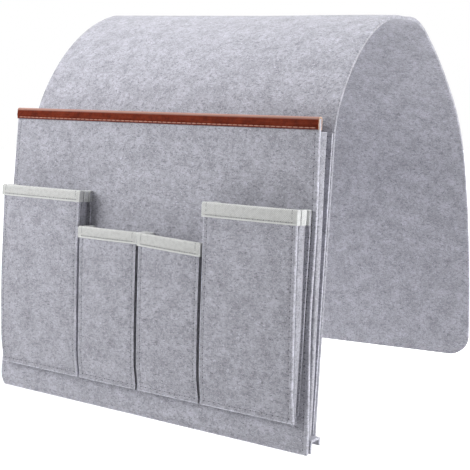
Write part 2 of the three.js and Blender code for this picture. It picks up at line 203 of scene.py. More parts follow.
class Pocket(namedtuple("Pocket", "name left right top drop tape")):
    """A small pocket: its sides, its top, how far that drops to the right, and its tape's height"""

    @property
    def middle(self):
        return (self.left + self.right) / 2

    @property
    def width(self):
        return self.right - self.left

    @property
    def seam(self):
        """Distance of each side seam from the middle"""
        return self.width / 2 - SEAM_INSET

    @property
    def cover(self):
        """Body that the front moves with"""
        return self.name + "_cover"

    def top_at(self, x):
        return self.top + self.drop * (x - self.left) / self.width


POCKETS = (
    Pocket("wide_left", -155.0, -62.5, WIDE_TOP, 0.0, 10.0),
    Pocket("narrow_left", -61.1, 2.3, NARROW_TOP, 0.0, 10.0),
    Pocket("narrow_right", 3.7, 66.9, NARROW_TOP, 3.0, 11.0),
    Pocket("wide_right", 68.3, 155.0, WIDE_TOP, 0.0, 12.0),
)


def blend_between(low, high, share):
    return low + (high - low) * share


def clamped(share):
    """The share, held between 0 and 1"""
    return min(max(share, 0.0), 1.0)


def ease(low, high, value):
    """0 below low, 1 above high, and smooth between them"""
    share = clamped((value - low) / (high - low))
    return share * share * (3 - 2 * share)


def hump(offset, spread):
    """1 where the offset is 0, and smoothly less to both sides"""
    return math.exp(-(offset**2) / spread)


# Places on the sheet and on the panel
DOWN = Vector((0, -math.sin(LEG_LEAN), -math.cos(LEG_LEAN)))
OUT = Vector((0, -math.cos(LEG_LEAN), math.sin(LEG_LEAN)))


@functools.lru_cache(maxsize=None)
def outline(arcs, distance, depth):
    """Point of the sheet's outline, at a distance along its outer face and a depth below it"""
    place = DOWN * SHEET_BOTTOM - OUT * POCKET_DEPTH
    heading = math.pi / 2 - LEG_LEAN
    remaining = distance
    for length, turn in arcs:
        run = min(remaining, length)
        bend = math.radians(turn) * run / length
        chord = run * math.sin(bend / 2) / (bend / 2) if bend else run
        towards = heading - bend / 2
        place = place + chord * Vector((0, math.cos(towards), math.sin(towards)))
        heading -= bend
        remaining -= run
        if remaining <= 0:
            break
    return place + depth * Vector((0, math.sin(heading), -math.cos(heading)))


ORIGIN = (outline(LEFT_ARCS, CREST, FELT) + outline(RIGHT_ARCS, CREST, FELT)) / 2


def wave(x, y, across, along, level, height):
    return height * noise.noise(Vector((x / across, y / along, level)))


def sheet_wave(x, distance):
    """How far the sheet waves off its outline: not at all behind the pockets and at the crest"""
    free = ease(*WAVES_START, distance) * ease(0, FLAT_AT_CREST, abs(distance - CREST))
    return free * (wave(x, distance, *SLOW_WAVE) + wave(x, distance, *QUICK_WAVE))


def on_sheet(x, distance, depth):
    """Place in the hung sheet, which blends the outlines of its left and right edges"""
    half = SHEET_WIDTH / 2 + FLAP_FLARE * ease(*FLARE_STARTS, distance)
    up = SHEET_LENGTH - distance
    if up < FLAP_CORNER:
        reach = FLAP_CORNER**2 - (FLAP_CORNER - up) ** 2
        half += math.sqrt(max(reach, 0.0)) - FLAP_CORNER
    wide = x * half / (SHEET_WIDTH / 2)
    depth -= sheet_wave(wide, distance)
    sides = []
    for arcs in (LEFT_ARCS, RIGHT_ARCS):
        outer = outline(arcs, round(distance, 4), 0.0)
        inwards = outline(arcs, round(distance, 4), 1.0) - outer
        sides.append(outer + inwards * depth)
    place = blend_between(*sides, wide / SHEET_WIDTH + 0.5) - ORIGIN
    return Vector((wide, place.y, place.z))


def on_panel(x, down, out):
    """Place in front of the panel's face, which ripples a little away from its seams"""
    free = ease(0, FLAT_AT_PANEL_EDGE, down) * ease(0, FLAT_AT_PANEL_EDGE, PANEL_BOTTOM - down)
    free *= ease(-POCKET_DEPTH, -FELT, out)
    ripple = free * wave(x, down, *PANEL_RIPPLE)
    return Vector((x, 0, 0)) + DOWN * down + OUT * (out + ripple) - ORIGIN


def pucker(z, *offsets):
    """How far the nearest row of stitches pulls the felt in: most at its face, where z is 0"""
    nearest = min(abs(offset) for offset in offsets)
    return PUCKER_DEPTH * hump(nearest, PUCKER_REACH**2) * max(0.0, 1 + z / FELT)


def groove_lines(seam):
    """Extra lines of points along a seam, for its groove"""
    return [seam + step for step in GROOVE_STEPS]


def both_sides(lines):
    return lines + [-x for x in lines]


# Flat pieces, cut, edged and then moved into place, with the same order of materials on each
# The third slot is a much darker felt: painted shade for side faces in the gaps between the fronts
FACE, CUT_EDGE, PAINTED_GAP_SHADE = range(3)
UPRIGHT = 0.5
NEARLY_LEVEL = 0.97
SHARP_ANGLE = math.radians(55)
TOUCHING = 1e-4


def cut_felt(
    width, top, bottom, thickness, cell, rim, open_end=None, columns=(), rows=(), cut_shows=True
):
    """Flat slab with a rounded rim: x across, y from top to bottom, z from 0 down.
    Its squares have about the size of a cell. It gets extra lines at columns and rows, and an
    open end keeps its square rim."""
    bm = bmesh.new()
    across = max(1, round(width / cell[0]))
    along = max(1, round((bottom - top) / cell[1]))
    bmesh.ops.create_grid(bm, x_segments=across, y_segments=along, size=0.5)
    bmesh.ops.scale(bm, vec=(width, bottom - top, 1), verts=bm.verts)
    bmesh.ops.translate(bm, vec=(0, (top + bottom) / 2, 0), verts=bm.verts)
    made = bmesh.ops.extrude_face_region(bm, geom=bm.faces[:])["geom"]
    under = [v for v in made if isinstance(v, bmesh.types.BMVert)]
    bmesh.ops.translate(bm, vec=(0, 0, -thickness), verts=under)
    bmesh.ops.recalc_face_normals(bm, faces=bm.faces)
    bm.normal_update()
    rims = []
    for edge in bm.edges:
        upright = [abs(face.normal.z) < UPRIGHT for face in edge.link_faces]
        at_end = open_end and all(abs(vert.co.y - open_end) < TOUCHING for vert in edge.verts)
        if sum(upright) == 1 and not at_end:
            rims.append(edge)
    bmesh.ops.bevel(
        bm,
        geom=rims,
        offset=rim,
        offset_type="OFFSET",
        segments=3,
        profile=0.5,
        affect="EDGES",
        clamp_overlap=True,
        material=-1,
    )
    lines = [((x, 0, 0), (1, 0, 0)) for x in columns] + [((0, y, 0), (0, 1, 0)) for y in rows]
    for place, normal in lines:
        everything = bm.verts[:] + bm.edges[:] + bm.faces[:]
        bmesh.ops.bisect_plane(
            bm, geom=everything, dist=TOUCHING, plane_co=place, plane_no=normal
        )
    bm.normal_update()
    for face in bm.faces:
        turned = abs(face.normal.z) < NEARLY_LEVEL
        face.material_index = CUT_EDGE if cut_shows and turned else FACE
    return bm


def bend_into_place(bm, place, cut_from=(0.0, 0.0)):
    """Keeps where each point was on the felt it was cut from, then moves it to its place"""
    flat = bm.verts.layers.float_vector.new("flat")
    for vert in bm.verts:
        vert[flat] = vert.co + Vector((cut_from[0], cut_from[1], 0))
        vert.co = place(*vert.co)
    bmesh.ops.recalc_face_normals(bm, faces=bm.faces)


def finished_mesh(bm, name):
    mesh = bpy.data.meshes.new(name)
    bm.to_mesh(mesh)
    bm.free()
    return mesh


def make_piece(name, bm, materials, replaced):
    """Piece in metres, with its materials, which hides the solids that it stands for"""
    bmesh.ops.scale(bm, vec=(MM, MM, MM), verts=bm.verts)
    mesh = finished_mesh(bm, name)
    for material in materials:
        mesh.materials.append(material)
    for polygon in mesh.polygons:
        polygon.use_smooth = True
    mesh.set_sharp_from_angle(angle=SHARP_ANGLE)
    piece = bpy.data.objects.new(name, mesh)
    bpy.context.collection.objects.link(piece)
    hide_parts(*replaced)
    return piece


def blend_on_panel(piece, first, second, start, end):
    """Bakes the piece's placement into its mesh"""
    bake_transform(piece)


# Folded strips: a section with rounded corners, and a slab that is bent to follow it
FOLD_STEPS = 6
LEAST_HALF_ANGLE = 0.05
MOST_OF_A_LEG = 0.48


def fold_line(corners, radii):
    """Line through the corners, each rounded by about its radius"""
    points = [Vector(corners[0])]
    for before, here, after, radius in zip(corners, corners[1:], corners[2:], radii):
        here = Vector(here)
        back = Vector(before) - here
        ahead = Vector(after) - here
        half = max(back.angle(ahead) / 2, LEAST_HALF_ANGLE)
        cut = min(
            radius / math.tan(half), MOST_OF_A_LEG * back.length, MOST_OF_A_LEG * ahead.length
        )
        start = here + back.normalized() * cut
        end = here + ahead.normalized() * cut
        for k in range(FOLD_STEPS + 1):
            t = k / FOLD_STEPS
            points.append(start * (1 - t) ** 2 + here * 2 * t * (1 - t) + end * t * t)
    points.append(Vector(corners[-1]))
    return points


class FoldedSection:
    """A fold line that gives the point and the outward normal at a share of its length"""

    def __init__(self, corners, radii):
        self.points = fold_line(corners, radii)
        self.lengths = [0.0]
        for a, b in zip(self.points, self.points[1:]):
            self.lengths.append(self.lengths[-1] + (b - a).length)
        self.total = self.lengths[-1]

    def at(self, share):
        target = clamped(share) * self.total
        last = len(self.points) - 2
        k = 0
        while k < last and self.lengths[k + 1] < target:
            k += 1
        here, after = self.points[k], self.points[k + 1]
        step = max(self.lengths[k + 1] - self.lengths[k], 1e-9)
        local = (target - self.lengths[k]) / step
        direction = (after - here).normalized()
        before = (here - self.points[k - 1]).normalized() if k else direction
        beyond = (self.points[k + 2] - after).normalized() if k < last else direction
        tangent = ((before + direction) * (1 - local) + (direction + beyond) * local).normalized()
        return here.lerp(after, local), Vector((-tangent.y, tangent.x))


def folded_strip(height, front, back, radius):
    """Section of a strip folded over a top edge, from its front leaf to its back one"""
    corners = [(-height, front), (0, front), (0, back), (-height, back)]
    return FoldedSection(corners, (radius, radius))


def folded_over(section, share, rise):
    """Place on a strip folded over a top edge: how far down, and how far out"""
    point, normal = section.at(share)
    point = point + normal * rise
    return -point.x, point.y


# Rows of stitches
PROBE = 0.3
# Kinds of bead: thread, and a dark spot of painted shade at a needle hole
THREAD_BEAD, HOLE_SHADE_BEAD = range(2)


def round_bead(name, material):
    """Small round body of radius 1, copied and stretched for each stitch, and for each dark spot of
    painted shade at a needle hole
    """
    bm = bmesh.new()
    bmesh.ops.create_uvsphere(bm, u_segments=6, v_segments=4, radius=1)
    for face in bm.faces:
        face.material_index = material
    return finished_mesh(bm, name)


BEADS = (round_bead("thread_bead", THREAD_BEAD), round_bead("needle_hole_shade_bead", HOLE_SHADE_BEAD))


def lay_bead(bm, surface, middle, step, facing, half_sizes, lift, kind):
    """Bead on a surface, turned along a row of stitches, with half its length, width and height"""
    ahead = step.normalized() * PROBE
    beside = Vector((-step.y, step.x)).normalized() * PROBE
    along = (surface(*(middle + ahead)) - surface(*(middle - ahead))).normalized()
    side = surface(*(middle + beside)) - surface(*(middle - beside))
    normal = along.cross(side).normalized()
    if normal.dot(facing) < 0:
        normal.negate()
    side = normal.cross(along).normalized()
    half, wide, high = half_sizes
    stretch = Matrix((side * wide, normal * high, along * half)).transposed().to_4x4()
    copy = BEADS[kind].copy()
    copy.transform(Matrix.Translation(surface(*middle) + normal * lift) @ stretch)
    bm.from_mesh(copy)
    bpy.data.meshes.remove(copy)


def sew(bm, surface, start, end, facing, hole=HOLE_HALF_LENGTH, half_width=THREAD_HALF_WIDTH):
    """Stitches between two points of a surface, with a dark bead of painted shade for the needle
    hole at each end of a stitch
    """
    start, end = Vector(start), Vector(end)
    count = max(1, round((end - start).length / STITCH_PITCH))
    step = (end - start) / count
    hole_sizes = (hole, HOLE_HALF_WIDTH, HOLE_HALF_HEIGHT)
    thread_sizes = (step.length / 2 - hole, half_width, THREAD_HALF_HEIGHT)
    for k in range(count + 1):
        lay_bead(bm, surface, start + step * k, step, facing, hole_sizes, HOLE_LIFT, HOLE_SHADE_BEAD)
        if k < count:
            middle = start + step * (k + 0.5)
            lay_bead(bm, surface, middle, step, facing, thread_sizes, THREAD_LIFT, THREAD_BEAD)


# Nodes of the finishes and of the studio. The places of a Mix node's colour sockets come first
MIX_INPUTS = (0, 6, 7)
MIX_RESULT = 2
ONE_WAVE_A_UNIT = 0.314


class Nodes:
    """Short calls for the nodes of one tree"""

    def __init__(self, tree):
        self.tree = tree

    def add(self, kind, **settings):
        node = self.tree.nodes.new("ShaderNode" + kind)
        for setting, value in settings.items():
            setattr(node, setting, value)
        return node

    def link(self, source, target):
        self.tree.links.new(source, target)

    def fill(self, socket, value):
        """Puts a colour, a number or another node's result into a socket"""
        if isinstance(value, tuple):
            socket.default_value = (*value, 1)
        elif isinstance(value, (int, float)):
            socket.default_value = value
        else:
            self.link(value, socket)

    def ranged(self, value, low, high, least=0.0, most=1.0, interpolation="LINEAR"):
        """From least, where the value is at low, to most, where it is at high"""
        node = self.add("MapRange", interpolation_type=interpolation)
        node.inputs["From Min"].default_value = low
        node.inputs["From Max"].default_value = high
        node.inputs["To Min"].default_value = least
        node.inputs["To Max"].default_value = most
        self.link(value, node.inputs["Value"])
        return node.outputs["Result"]

    def maths(self, operation, first, second):
        node = self.add("Math", operation=operation)
        self.fill(node.inputs[0], first)
        self.fill(node.inputs[1], second)
        return node.outputs["Value"]

    def part_of(self, vector, axis):
        node = self.add("SeparateXYZ")
        self.link(vector, node.inputs["Vector"])
        return node.outputs[axis]

    def seen_by_camera(self):
        return self.add("LightPath").outputs["Is Camera Ray"]


# Procedural finishes, on the flat piece's own measures in millimetres
class Finish(Nodes):
    """A material with short calls for what these finishes share"""

    def __init__(self, name, on_flat_piece=True):
        self.material = bpy.data.materials.new(name)
        self.material.use_nodes = True
        super().__init__(self.material.node_tree)
        self.shader = self.tree.nodes["Principled BSDF"]
        if on_flat_piece:
            self.place = self.add("Attribute", attribute_name="flat").outputs["Vector"]
        else:
            self.place = self.add("TexCoord").outputs["Object"]
        self.shader.inputs["Specular IOR Level"].default_value = 0.25

    def scaled(self, scale, turn=0.0):
        mapping = self.add("Mapping")
        mapping.inputs["Scale"].default_value = scale
        mapping.inputs["Rotation"].default_value = (0, 0, math.radians(turn))
        self.link(self.place, mapping.inputs["Vector"])
        return mapping.outputs["Vector"]

    def speckle(self, size, detail=3.0, rough=0.55, distortion=0.0, vector=None):
        node = self.add("TexNoise")
        node.inputs["Scale"].default_value = 1 / size
        node.inputs["Detail"].default_value = detail
        node.inputs["Roughness"].default_value = rough
        node.inputs["Distortion"].default_value = distortion
        self.link(vector or self.place, node.inputs["Vector"])
        return node.outputs["Fac"]

    def two_tones(self, pattern, low, low_colour, high, high_colour):
        """One colour where the pattern is below low, another above high"""
        ramp = self.add("ValToRGB")
        first, last = ramp.color_ramp.elements
        first.position, last.position = low, high
        first.color, last.color = (*low_colour, 1), (*high_colour, 1)
        self.link(pattern, ramp.inputs["Fac"])
        return ramp.outputs["Color"]

    def mix(self, share, first, second):
        node = self.add("Mix", data_type="RGBA")
        for place, value in zip(MIX_INPUTS, (share, first, second)):
            self.fill(node.inputs[place], value)
        return node.outputs[MIX_RESULT]

    def tinted(self, base, pattern, none_at, most_at, strength, colour):
        """The base, tinted with a colour, between two values of the pattern"""
        share = self.maths("MULTIPLY", self.ranged(pattern, none_at, most_at), strength)
        return self.mix(share, base, colour)

    def bump(self, height, distance, strength=1.0, under=None):
        node = self.add("Bump")
        node.inputs["Distance"].default_value = distance * MM
        node.inputs["Strength"].default_value = strength
        self.link(height, node.inputs["Height"])
        if under:
            self.link(under, node.inputs["Normal"])
        return node.outputs["Normal"]

    def done(self, colour, normal, roughness, sheen=0.0):
        self.link(colour, self.shader.inputs["Base Color"])
        self.link(normal, self.shader.inputs["Normal"])
        self.shader.inputs["Roughness"].default_value = roughness
        self.shader.inputs["Sheen Weight"].default_value = sheen
        self.shader.inputs["Sheen Roughness"].default_value = 0.5
        return self.material


def shade(colour, factor):
    return tuple(value * factor for value in colour)


def felt_finish(name, tone):
    """Pressed wool in mixed greys: clouds of tone, dark clumps, wisps of fibre and a fuzzy nap"""
    felt = Finish(name)
    clouds = felt.speckle(15, detail=4, rough=0.62)
    clumps = felt.speckle(3.6, detail=5, rough=0.7, distortion=0.7)
    specks = felt.speckle(1.5, detail=3, rough=0.7, distortion=1.6)
    base = felt.mix(felt.ranged(clouds, 0.36, 0.64), shade(tone, 0.90), shade(tone, 1.24))
    base = felt.tinted(base, clumps, 0.47, 0.68, 0.7, shade(tone, 0.48))
    for turn, strength in ((24, 0.8), (-63, 0.65)):
        fibres = felt.scaled((0.3, 1.05, 1), turn)
        wisps = felt.speckle(1.0, detail=2, rough=0.6, distortion=1.1, vector=fibres)
        base = felt.tinted(base, wisps, 0.56, 0.70, strength, shade(tone, 0.36))
    base = felt.tinted(base, specks, 0.53, 0.70, 0.85, shade(tone, 1.75))
    nap = felt.maths("ADD", felt.speckle(0.8, detail=3, rough=0.7, distortion=1.5), specks)
    coarse = felt.bump(clumps, 0.5, 0.55)
    return felt.done(base, felt.bump(nap, 0.25, 0.75, coarse), 0.95, sheen=0.2)


def tape_finish(name, tone):
    """Fine twill tape, pale grey, with a paler woven edge and a little worn dirt"""
    tape = Finish(name)
    ribs = []
    for turn, pitch in ((42, 0.9), (-48, 1.2)):
        rib = tape.add("TexWave", wave_profile="SIN")
        rib.inputs["Scale"].default_value = ONE_WAVE_A_UNIT
        rib.inputs["Distortion"].default_value = 1.4
        rib.inputs["Detail"].default_value = 2
        tape.link(tape.scaled((1 / pitch, 1 / pitch, 0.001), turn), rib.inputs["Vector"])
        ribs.append(rib.outputs["Fac"])
    weave = tape.maths("MULTIPLY", ribs[0], ribs[1])
    worn = tape.speckle(3.0, detail=5, rough=0.7)
    colour = tape.mix(tape.ranged(weave, 0.0, 0.5), shade(tone, 0.81), shade(tone, 1.19))
    colour = tape.tinted(colour, worn, 0.46, 0.66, 0.6, shade(tone, 0.71))
    colour = tape.tinted(colour, tape.part_of(tape.place, "Y"), 1.15, 0.75, 0.75, (0.70, 0.71, 0.70))
    return tape.done(colour, tape.bump(weave, 0.16, 0.8), 0.9, sheen=0.1)


def leather_finish():
    """Grained red-brown leather, rubbed pale and painted with a highlight where it folds, and dull
    along its lower edge
    """
    leather = Finish("brown_leather")
    grain = leather.add("TexVoronoi", feature="DISTANCE_TO_EDGE")
    grain.inputs["Scale"].default_value = 0.9
    leather.link(leather.place, grain.inputs["Vector"])
    cells = leather.ranged(grain.outputs["Distance"], 0.0, 0.16)
    tone = leather.speckle(7, detail=5, rough=0.65)
    streaks = leather.speckle(2.4, detail=3, vector=leather.scaled((0.1, 1.3, 1)))
    colour = leather.two_tones(tone, 0.3, (0.078, 0.010, 0.004), 0.7, (0.205, 0.030, 0.010))
    colour = leather.tinted(colour, streaks, 0.48, 0.72, 0.45, (0.235, 0.048, 0.024))
    from_edge = leather.part_of(leather.place, "Y")
    from_fold = leather.maths("ABSOLUTE", leather.maths("SUBTRACT", from_edge, BINDING_FOLD), 0)
    # Painted highlight on the fold over the top edge, together with its pale rubbed wear
    colour = leather.tinted(colour, from_fold, 3.4, 1.9, 0.85, (0.50, 0.30, 0.25))
    colour = leather.tinted(colour, from_edge, 1.1, 0.5, 0.6, (0.16, 0.055, 0.05))
    leather.shader.inputs["Specular IOR Level"].default_value = 0.08
    creases = leather.maths("ADD", cells, streaks)
    return leather.done(colour, leather.bump(creases, 0.2, 0.9), 0.58)


def raw_leather_finish():
    """Fibrous cut end of the leather"""
    raw = Finish("raw_leather_edge")
    fibre = raw.speckle(0.7, detail=3, rough=0.7)
    colour = raw.two_tones(fibre, 0.3, (0.46, 0.25, 0.16), 0.7, (0.78, 0.58, 0.44))
    return raw.done(colour, raw.bump(fibre, 0.15, 0.6), 0.85)


def thread_finish(name, pale, dark):
    """Twisted thread, with a little tone along it"""
    thread = Finish(name, on_flat_piece=False)
    twist = thread.speckle(0.7 * MM, detail=2)
    colour = thread.two_tones(twist, 0.35, dark, 0.65, pale)
    return thread.done(colour, thread.bump(twist, 0.05, 0.5), 0.8)


FELT_TONE = (0.40, 0.40, 0.451)
felt = felt_finish("grey_felt", FELT_TONE)
# A darker copy of the same felt for the small fronts: painted shade
pocket_felt = felt_finish("pocket_felt", shade(FELT_TONE, 0.93))
# Lighter felt on the cut edges: their paler fibrous tone together with a painted highlight
felt_cut_painted_highlight = felt_finish("felt_cut_edge", shade(FELT_TONE, 1.4))
sheet_cut = felt_finish("sheet_cut_edge", shade(FELT_TONE, 1.03))
# Painted shade: much darker felt for the side faces of the small fronts in the narrow gaps between
# them
gap_felt_painted_shade = felt_finish("pressed_felt_in_seam", shade(FELT_TONE, 0.4))
tape = tape_finish("woven_tape", (0.58, 0.585, 0.577))
# A paler copy of the same tape: painted light on the corner tabs and on the gussets' tapes
corner_tape = tape_finish("corner_tape", (0.70, 0.71, 0.71))
leather = leather_finish()
raw_leather = raw_leather_finish()
thread = thread_finish("grey_thread", (0.42, 0.42, 0.46), (0.27, 0.27, 0.31))
leather_thread = thread_finish("leather_thread", (0.52, 0.27, 0.21), (0.38, 0.17, 0.12))
tape_thread = thread_finish("tape_thread", (0.42, 0.43, 0.43), (0.28, 0.29, 0.30))
# Dark beads at the needle holes in felt, leather and tape: painted shade where the thread goes in
needle_hole = thread_finish("needle_hole", (0.09, 0.09, 0.11), (0.05, 0.05, 0.065))
tape_hole_painted_shade = thread_finish("tape_needle_hole", (0.27, 0.27, 0.27), (0.19, 0.19, 0.19))


# The felt sheet over the arm, in two halves that meet where it lies flat at the crest
def sheet_half(name, start, end, leg, shoulder):
    """One half of the sheet, from start to end along it, standing for its leg's solid and the saddle
    """
    angles = [math.radians(degrees) for degrees in FLAP_CORNER_ANGLES]
    corner_rows = [SHEET_LENGTH - FLAP_CORNER * (1 - math.sin(angle)) for angle in angles]
    bm = cut_felt(
        SHEET_WIDTH,
        start,
        end,
        FELT,
        cell=(6.4, 4.4),
        rim=0.8,
        open_end=CREST,
        rows=[y for y in corner_rows if start < y < end],
    )
    bend_into_place(bm, lambda x, y, z: on_sheet(x, y, -z), cut_from=(500, 0))
    piece = make_piece(name, bm, [felt, sheet_cut], ["sheet_" + leg, "sheet_saddle"])
    inwards = math.copysign(SHOULDER_REACH, CREST - shoulder)
    steps = (-inwards, 0, inwards)
    near, middle, far = [on_sheet(0, shoulder + step, FELT / 2) for step in steps]
    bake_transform(piece)


sheet_half("felt_sheet_front_half", 0, CREST, "front_leg", FRONT_SHOULDER)
sheet_half("felt_sheet_back_half", CREST, SHEET_LENGTH, "back_flap", BACK_SHOULDER)


# Panel of the large pocket
def panel_half_width(down):
    return blend_between(PANEL_TOP_WIDTH, PANEL_BOTTOM_WIDTH, down / PANEL_BOTTOM) / 2


def corner_inset(radius, down):
    """How far a bottom corner draws the panel's edge in"""
    into = max(0.0, down - (PANEL_BOTTOM - radius))
    return PANEL_CORNER_SHARE * (radius - math.sqrt(max(radius**2 - into**2, 0.0)))


def panel_face(x, down, out):
    """Place in the panel: its right edge bows in, and its bottom corners are round"""
    half = panel_half_width(down)
    bow = PANEL_BOW * hump(down - PANEL_BOW_AT, PANEL_BOW_REACH**2)
    left = -half + corner_inset(PANEL_LEFT_CORNER, down)
    right = half - corner_inset(PANEL_RIGHT_CORNER, down) - bow
    across = blend_between(left, right, x / SHEET_WIDTH + 0.5)
    groove = pucker(out, x + SIDE_SEAM, x - SIDE_SEAM, down - LOW_SEAM)
    sag = PANEL_SAG * ease(PANEL_BOTTOM - PANEL_SAG_REACH, PANEL_BOTTOM, down)
    return on_panel(across, down + sag, out - groove)


CORNER_STEPS = (0.15, 0.45, 1.1, 2.0, 3.4, 5.2, 7.6, 10.0, 12.5)
bm = cut_felt(
    SHEET_WIDTH,
    LEATHER + GAP,
    PANEL_BOTTOM,
    FELT,
    cell=(6.4, 6.4),
    rim=0.75,
    columns=both_sides(groove_lines(SIDE_SEAM)),
    rows=[PANEL_BOTTOM - step for step in CORNER_STEPS],
)
bend_into_place(bm, panel_face, cut_from=(1000, 0))
panel = make_piece("large_pocket_panel", bm, [felt, felt_cut_painted_highlight], ["pocket_panel"])
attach(panel, "panel")

# Leather folded over the panel's top edge, swollen above its seam and pulled in along it
FRONT_LEAF = GAP + LEATHER
END_ON = 0.45
binding = folded_strip(BINDING_HEIGHT, FRONT_LEAF, -FELT - FRONT_LEAF, BINDING_ROUND)


def binding_place(x, y, z):
    down, out = folded_over(binding, y / binding.total, z)
    if out > 0:
        out += RIDGE_HEIGHT * hump(down - BINDING_RIDGE, RIDGE_SPREAD)
        out -= PRESSED_GROOVE * hump(down - BINDING_SEAM, BINDING_GROOVE_SPREAD)
    return on_panel(x, down, out)


bm = cut_felt(PANEL_TOP_WIDTH, 0, binding.total, LEATHER, cell=(6.5, 0.75), rim=0.35)
bend_into_place(bm, binding_place)
for face in bm.faces:
    face.material_index = CUT_EDGE if abs(face.normal.x) > END_ON else FACE
trim = make_piece("leather_trim", bm, [leather, raw_leather], ["leather_binding"])
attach(trim, "panel")


def trim_face(x, down):
    """Bottom of the leather's groove, where its thread lies"""
    return on_panel(x, down, FRONT_LEAF - TRIM_THREAD_SINK)


row_end = PANEL_TOP_WIDTH / 2 - TRIM_SEAM_END
start, end = (-row_end, BINDING_SEAM), (row_end, BINDING_SEAM)
bm = bmesh.new()
sew(bm, trim_face, start, end, OUT, hole=0.1, half_width=0.5)
trim_stitches = make_piece(
    "leather_trim_stitches", bm, [leather_thread, needle_hole], ["leather_stitching"]
)
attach(trim_stitches, "panel")


# Stitches of the panel, which leave out its rounded left corner
def panel_front(x, down):
    return panel_face(x, down, 0.0)


bm = bmesh.new()
for start, end in (
    ((-SIDE_SEAM, PANEL_SEAM_TOP), (-SIDE_SEAM, LOW_SEAM - SEAM_CORNER)),
    ((-SIDE_SEAM + SEAM_CORNER, LOW_SEAM), (SIDE_SEAM, LOW_SEAM)),
    ((SIDE_SEAM, PANEL_SEAM_TOP), (SIDE_SEAM, LOW_SEAM)),
):
    sew(bm, panel_front, start, end, OUT)
panel_stitches = make_piece(
    "large_pocket_stitches", bm, [thread, needle_hole], ["panel_stitching"]
)
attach(panel_stitches, "panel")

# Gussets: a flange behind the front, a leaf that runs back, and a back edge that turns out
Knee = namedtuple("Knee", "outside depth_share radius")
SMALL_KNEE = Knee(-0.5, 0.52, 3.0)
LARGE_KNEE = Knee(0.5, 0.47, 1.2)
VALLEY_LIFT = 0.2
VALLEY_RADIUS = 0.5


def gusset_section(front_edge, back_edge, front, back, flange, valley, thickness, knee):
    """The leaf turns in at its knee, and its back edge leaves the valley with its raw cut showing"""
    knee_across = blend_between(front_edge, back_edge, 0.5) + knee.outside
    corners = [
        (front_edge - flange, front),
        (front_edge, front),
        (knee_across, front - (front - back) * knee.depth_share),
        (back_edge - valley, back + VALLEY_LIFT),
        (back_edge, back),
    ]
    return FoldedSection(corners, (thickness * 0.6, knee.radius, VALLEY_RADIUS))


def make_gusset(name, sign, section_at, top, bottom, thickness, replaced):
    """Gives the piece, and its section at any height"""

    @functools.lru_cache(maxsize=None)
    def section_at_step(down):
        return section_at(down)

    def section(down):
        return section_at_step(round(down, 2))

    width = section(top).total
    bm = cut_felt(width, top, bottom, thickness, cell=(1.0, 5.0), rim=0.4)

    def place(x, y, z):
        point, normal = section(y).at(x / width + 0.5)
        point = point + normal * z
        return on_panel(sign * point.x, y, point.y)

    bend_into_place(bm, place, cut_from=(sign * 300, 1500))
    piece = make_piece(name, bm, [felt, felt_cut_painted_highlight], [replaced])
    return piece, section


LARGE_GUSSET_BACK = -POCKET_DEPTH + GAP + GUSSET_FELT
LARGE_POCKET_BEND = (-POCKET_DEPTH + GUSSET_FELT, -FELT - GUSSET_FELT)


def large_gusset_section(down):
    return gusset_section(
        panel_half_width(down) - GAP,
        LARGE_GUSSET_EDGE,
        -FELT - GAP,
        LARGE_GUSSET_BACK,
        LARGE_GUSSET_FLANGE,
        LARGE_GUSSET_FLANGE,
        GUSSET_FELT,
        LARGE_KNEE,
    )


def flange_face(x, down):
    return on_panel(x, down, LARGE_GUSSET_BACK)


for sign, side in ((-1, "left"), (1, "right")):
    gusset, _ = make_gusset(
        "large_pocket_gusset_" + side,
        sign,
        large_gusset_section,
        LARGE_GUSSET_TOP,
        FLOOR_TOP - GAP,
        GUSSET_FELT,
        "panel_gusset_" + side,
    )
    blend_on_panel(gusset, "front_leg", "panel", *LARGE_POCKET_BEND)
    row = sign * (LARGE_GUSSET_EDGE - SEAM_INSET)
    bm = bmesh.new()
    sew(bm, flange_face, (row, BINDING_HEIGHT + SEAM_END), (row, FLOOR_TOP - SEAM_END), OUT)
    sewn = make_piece("sheet_edge_stitches_" + side, bm, [thread, needle_hole], [])
    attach(sewn, "front_leg")


# Floors: a strip across the pocket's bottom, with both long edges turned down and sewn in
def make_floor(name, left, right, top, fronts, backs, thickness, replaced):
    """fronts and backs give how far out each turned edge is, and how far down it reaches"""
    (front, front_low), (back, back_low) = fronts, backs
    section = FoldedSection(
        [(-front_low, front), (-top, front), (-top, back), (-back_low, back)],
        (thickness + FLOOR_TURN, thickness + FLOOR_TURN),
    )
    width = right - left
    bm = cut_felt(width, 0, section.total, thickness, cell=(6.0, 1.0), rim=0.4)

    def place(x, y, z):
        down, out = folded_over(section, y / section.total, z)
        return on_panel((left + right) / 2 + x, down, out)

    bend_into_place(bm, place, cut_from=(2000, 0))
    piece = make_piece(name, bm, [felt, felt_cut_painted_highlight], [replaced])
    return piece


floor = make_floor(
    "large_pocket_floor",
    FLOOR_LEFT_END,
    FLOOR_RIGHT_END,
    FLOOR_TOP,
    (-FELT - GAP, PANEL_BOTTOM - FLOOR_FRONT_SHORT),
    (-POCKET_DEPTH + GAP, SHEET_BOTTOM - FLOOR_BACK_SHORT),
    GUSSET_FELT,
    "panel_floor",
)
blend_on_panel(floor, "front_leg", "panel", *LARGE_POCKET_BEND)


# Stitches that show on the arm's side of the front leg
def arm_side(x, distance):
    return on_sheet(x, distance, FELT)


